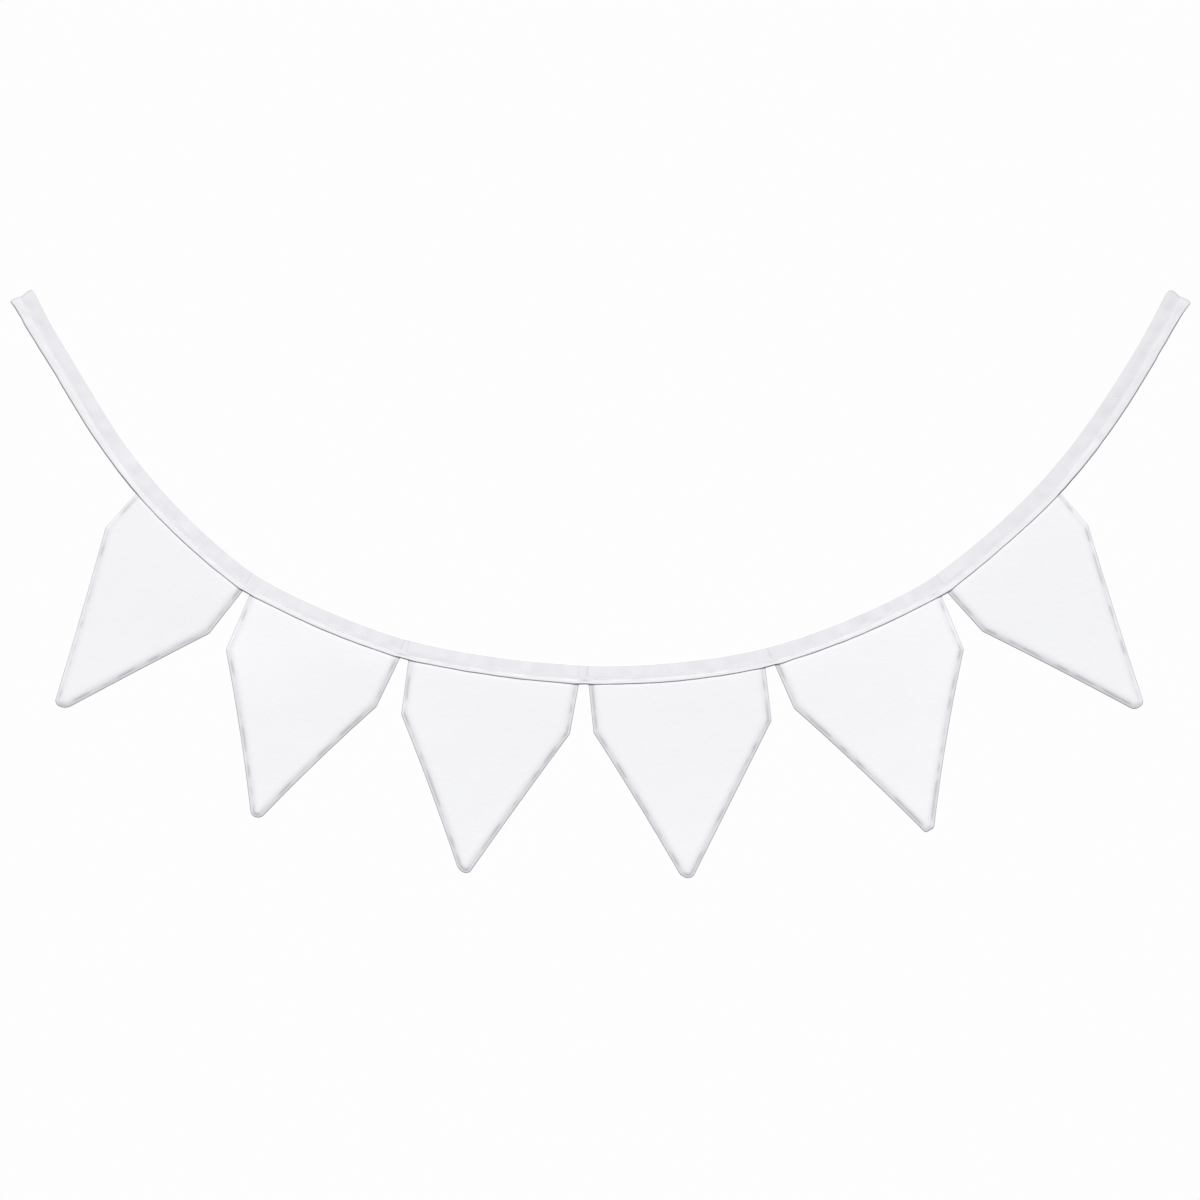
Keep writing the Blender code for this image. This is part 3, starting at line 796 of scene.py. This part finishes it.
def make_pennant(name, row):
    """A pennant's cloth, with its flat width and length and the area of one layer."""
    place, width = pennant_frame(row)
    bm = bmesh.new()
    cloth = bm.loops.layers.uv.new("cloth")
    from_seam = bm.verts.layers.float.new("from_seam")
    below_tape = bm.verts.layers.float.new("below_tape")
    drawn = bm.verts.layers.float.new("drawn")
    tone = bm.verts.layers.float.new("tone")
    cut_pennant(bm, row, place, width)
    wall = seam_wall(bm)
    area = sum(face.calc_area() for face in bm.faces)
    for step in RIM_STEPS:
        bmesh.ops.inset_region(bm, faces=[widest_face(bm)], thickness=step * MM,
                               use_even_offset=True, use_boundary=True)
        bmesh.ops.remove_doubles(bm, verts=widest_face(bm).verts[:], dist=CLOSE * step * MM)

    low = Vector([min(vert.co[axis] for vert in bm.verts) for axis in range(3)])
    high = Vector([max(vert.co[axis] for vert in bm.verts) for axis in range(3)])
    for axis in (0, 2):
        normal = Vector([1.0 if i == axis else 0.0 for i in range(3)])
        for i in range(1, int((high[axis] - low[axis]) / MESH_STEP) + 1):
            geometry = bm.verts[:] + bm.edges[:] + bm.faces[:]
            spot = low + normal * MESH_STEP * i
            bmesh.ops.bisect_plane(bm, geom=geometry, dist=SAME_PLANE, plane_co=spot, plane_no=normal)
    bmesh.ops.triangulate(bm, faces=bm.faces[:])

    outline = {vert for edge in bm.edges if edge.is_boundary for vert in edge.verts}
    for vert in bm.verts:
        distance = wall.find_nearest(vert.co)[3]
        vert[from_seam] = distance
        for loop in vert.link_loops:
            loop[cloth].uv = (vert.co.x, vert.co.z)
        above = place_on_tape(place @ vert.co)[1]
        half = from_rows(RIM, distance / MM) * MM
        pull = smooth(SEAM_DRAWN + SEAM_SWING * noise.noise((place @ vert.co) * SEAM_SCALE))
        vert[drawn] = pull * bump(distance - SEAM, SEAM_HALF)
        half -= SEAM_DRAW * vert[drawn]
        half *= 1 - DRAWN_SHARE * min(max(1 + above / DRAWN_RUN, 0.0), 1.0) ** 2
        half += (min(half, MARGIN_HALF) - half) * smooth(above / MARGIN_RUN)
        vert[below_tape] = -above
        vert[tone] = row.tone
        vert.co.y = 0.0 if vert in outline else -half
    bmesh.ops.mirror(bm, geom=bm.verts[:] + bm.edges[:] + bm.faces[:], matrix=Matrix(),
                     merge_dist=0.001 * MM, axis="Y")

    bottom = max(row.left_tip[1], row.right_tip[1]) * MM
    for vert in bm.verts:
        spot = vert.co.copy()
        fall = min(max(-spot.z - PRESSED_RUN, 0.0) / bottom, 1.0)
        across = min(max(2 * spot.x / width, -1.0), 1.0)
        twist = row.twist * across * smooth(fall / TWIST_FALL)
        belly = row.belly * (1 - across ** 2) * math.sin(math.pi * fall)
        swing = (row.curl * fall ** 2 - belly + twist) * MM
        at = place @ spot
        swing += FACE_UNEVEN * noise.noise(at * FACE_SCALE) * smooth(fall * FACE_GROWTH)
        vert.co = at + Vector((0.0, swing, 0.0))
    bmesh.ops.recalc_face_normals(bm, faces=bm.faces)
    for face in bm.faces:
        face.smooth = True
    return put_out(name, bm), (width, bottom + MARGIN), area


PENNANT_COLOUR = (0.861, 0.867, 0.876, 1.0)
ALLOWANCE_SHADE_COLOUR = (0.748, 0.751, 0.779, 1.0)        # painted shade where the seam allowance lies inside
COVERED_FROM, COVERED_TO = 2.3 * MM, 7.8 * MM   # from the seam, where the allowance thins out
RIM_EDGE_SHADE, RIM_EDGE_PATCHES = 0.11, 0.3             # painted shade along the turned edge itself, darker by patches
EDGE_FROM, EDGE_TO = 0.25 * MM, 0.75 * MM
BEAD_START, BEAD_FULL = 0.5 * MM, 0.9 * MM      # the bead along it is painted paler, a painted highlight, also by patches
BEAD_FALLS, BEAD_END = 1.3 * MM, 1.9 * MM
BEAD_HIGHLIGHT, HIGHLIGHT_LEAST, HIGHLIGHT_MOST = 0.12, -0.15, 0.15
DRAW_IN_SHADE = 0.23                                # painted shade in the seam's draw-ins
UNDER_TAPE_SHADE, UNDER_TAPE_RUN = 0.05, 0.8 * MM              # painted shadow just under the tape
CLOUDY = 0.025
EDGE_MOTTLE, BEAD_MOTTLE, CLOUD_MOTTLE = 100.0, 30.0, 60.0      # per metre
CRUMPLE_MOTTLE, HAIRLINE_MOTTLE = 220.0, 70.0
WEAVE_SHARE, CRUMPLE_SHARE, HAIRLINE_SHARE = 0.6, 4.0, 1.0      # of the relief's depth
HAIRLINE = 0.02                                 # how wide the fine creases of the crumpling are
PENNANT_THREAD, PENNANT_RELIEF = 0.40 * MM, 0.02 * MM


def pennant_cotton():
    """White plain-weave cotton, painted greyer towards the seams, where more layers lie: painted shade."""
    cotton = Finish("pennant_cotton_weave", roughness=0.94)
    along, across = cotton.cloth_plane()
    from_seam = cotton.attribute("from_seam")
    # Painted shade towards the rim, over the seam allowance: the colour goes over to the greyer one.
    rim_shading = 1 - from_seam.ramp(COVERED_FROM, COVERED_TO)
    layers = cotton.mix(rim_shading * rim_shading, PENNANT_COLOUR, ALLOWANCE_SHADE_COLOUR)
    # Painted shade along the turned edge, darker by patches.
    grey = RIM_EDGE_SHADE + cotton.mottle(EDGE_MOTTLE, 1.0) * RIM_EDGE_PATCHES
    edge = grey * (1 - from_seam.step(EDGE_FROM, EDGE_TO))
    # A painted highlight along the bead, paler by patches.
    bead = from_seam.step(BEAD_START, BEAD_FULL) * (1 - from_seam.step(BEAD_FALLS, BEAD_END))
    painted_at_edges = bead * cotton.mottle(BEAD_MOTTLE, 1.0).ramp(HIGHLIGHT_LEAST, HIGHLIGHT_MOST) * BEAD_HIGHLIGHT
    # Painted shade in the seam's draw-ins.
    seam = cotton.attribute("drawn") * DRAW_IN_SHADE
    # Painted shadow on the pennant just under the tape.
    under_tape_shade = UNDER_TAPE_SHADE * (1 - cotton.attribute("below_tape").step(0.0, UNDER_TAPE_RUN))
    # The pennant's colour, scaled by its clouds and tone, with the painted highlight on the bead and less
    # the painted shade and shadow.
    lightness = 1.0 + cotton.mottle(CLOUD_MOTTLE, 3.0) * CLOUDY + painted_at_edges - edge - seam - under_tape_shade
    lightness += cotton.attribute("tone")
    crumple = cotton.mottle(CRUMPLE_MOTTLE, 3.0) * CRUMPLE_SHARE
    hairline = 1 - cotton.mottle(HAIRLINE_MOTTLE).size().step(0.0, HAIRLINE)
    height = weave(along, across, PENNANT_THREAD) * WEAVE_SHARE + crumple + hairline * HAIRLINE_SHARE
    return cotton.finish(cotton.scaled(layers, lightness), height, PENNANT_RELIEF)


white_cotton = pennant_cotton()
for number, row in enumerate(PENNANTS, start=1):
    pennant, (flat_width, flat_length), flat_area = make_pennant(f"pennant_{number}_cloth", row)
    pennant.data.materials.append(white_cotton)
    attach(pennant, "root")
    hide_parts(f"pennant_{number}")
    widest = (row.right_shoulder[0] - row.left_shoulder[0]) * MM


# ---- floor, light and camera ---------------------------------------------------------------------
# A plain pale floor well below the swag, soft light from high in front and from behind, an even pale
# surround, and a long lens level with the middle of the picture, square on to the swag.

FLOOR_DROP = 0.75
FLOOR_RADIUS, FLOOR_PLAIN = 9.0, 5.0             # it pales from the plain part outwards
FLOOR_COLOUR, FLOOR_RIM = (0.375, 0.375, 0.38, 1.0), (0.63, 0.63, 0.63, 1.0)
FLOOR_SEGMENTS = 128
FLOOR_CLOUDY, FLOOR_CLOUDS = 0.02, 3.0          # how strong its clouds are, and how many to a metre
FLOOR_GRAIN, FLOOR_RELIEF = 400.0, 0.2 * MM
SURROUND_COLOUR = (1.0, 1.0, 1.0, 1.0)
SURROUND = 0.986                # how bright the surround looks
FILL = 0.20                     # how much light it gives, and its colour
FILL_COLOUR = (0.95, 0.96, 1.10, 1.0)
KEY_COLOUR = (1.01, 1.0, 0.98)
KEY, BACK = 3.62, 2.8           # the lights from the front and from behind
LIGHT_HEIGHT = 42.0             # degrees above the floor
LIGHT_SPREAD = 24.0             # degrees across
VIEW_WIDTH = 0.816              # width of the picture at the swag
VIEW_CENTRE = Vector((0.38872, 0.0, -0.1987))
LENS, SENSOR = 440.0, 36.0      # millimetres
SIGHT = 4                       # it sees this many times as far as the swag


def make_floor():
    bm = bmesh.new()
    middle = Vector((VIEW_CENTRE.x, 0.0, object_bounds()[0].z - FLOOR_DROP))
    bmesh.ops.create_circle(bm, cap_ends=True, segments=FLOOR_SEGMENTS, radius=FLOOR_RADIUS,
                            matrix=Matrix.Translation(middle))
    floor = put_out("floor", bm)
    floor.visible_diffuse = False
    pale = Finish("pale_floor", roughness=0.9)
    place = pale.add("ShaderNodeTexCoord", {}, output="Object")
    out = pale.add("ShaderNodeVectorMath", {"operation": "DISTANCE"}, [place, middle], "Value")
    plain = pale.mix(out.step(FLOOR_PLAIN, FLOOR_RADIUS), FLOOR_COLOUR, FLOOR_RIM)
    colour = pale.scaled(plain, 1.0 + pale.mottle(FLOOR_CLOUDS) * FLOOR_CLOUDY)
    floor.data.materials.append(pale.finish(colour, pale.mottle(FLOOR_GRAIN), FLOOR_RELIEF))


def make_light(name, strength, azimuth):
    """A broad soft light, this far round from the front (degrees)."""
    light = bpy.data.lights.new(name, "SUN")
    light.energy = strength
    light.color = KEY_COLOUR
    light.angle = math.radians(LIGHT_SPREAD)
    lamp = bpy.data.objects.new(name, light)
    lamp.rotation_euler = (math.radians(90 - LIGHT_HEIGHT), 0.0, math.radians(azimuth))
    bpy.context.scene.collection.objects.link(lamp)


def make_surround():
    """White to look at, and dimmer as a light."""
    world = bpy.data.worlds.new("surround")
    world.use_nodes = True
    surround = Nodes(world.node_tree)
    lit = world.node_tree.nodes["Background"]
    surround.feed(lit.inputs["Color"], FILL_COLOUR)
    surround.feed(lit.inputs["Strength"], FILL)
    seen = surround.add("ShaderNodeBackground", {}, [SURROUND_COLOUR, SURROUND])
    from_camera = surround.add("ShaderNodeLightPath", {}, output="Is Camera Ray")
    sockets = [from_camera, Value(surround, lit.outputs[0]), seen]
    either = surround.add("ShaderNodeMixShader", {}, sockets)
    surround.feed(world.node_tree.nodes["World Output"].inputs["Surface"], either)
    bpy.context.scene.world = world


def make_camera():
    lens = bpy.data.cameras.new("camera")
    lens.lens = LENS
    lens.sensor_width = SENSOR
    distance = VIEW_WIDTH * LENS / SENSOR
    lens.clip_end = SIGHT * distance
    camera = bpy.data.objects.new("camera", lens)
    camera.location = VIEW_CENTRE - Vector((0.0, distance, 0.0))
    camera.rotation_euler = (math.radians(90.0), 0.0, 0.0)
    bpy.context.scene.collection.objects.link(camera)
    bpy.context.scene.camera = camera


make_floor()
make_light("front_light", KEY, 0.0)
make_light("back_light", BACK, 180.0)
make_surround()
make_camera()
bpy.context.scene.view_settings.view_transform = "Standard"
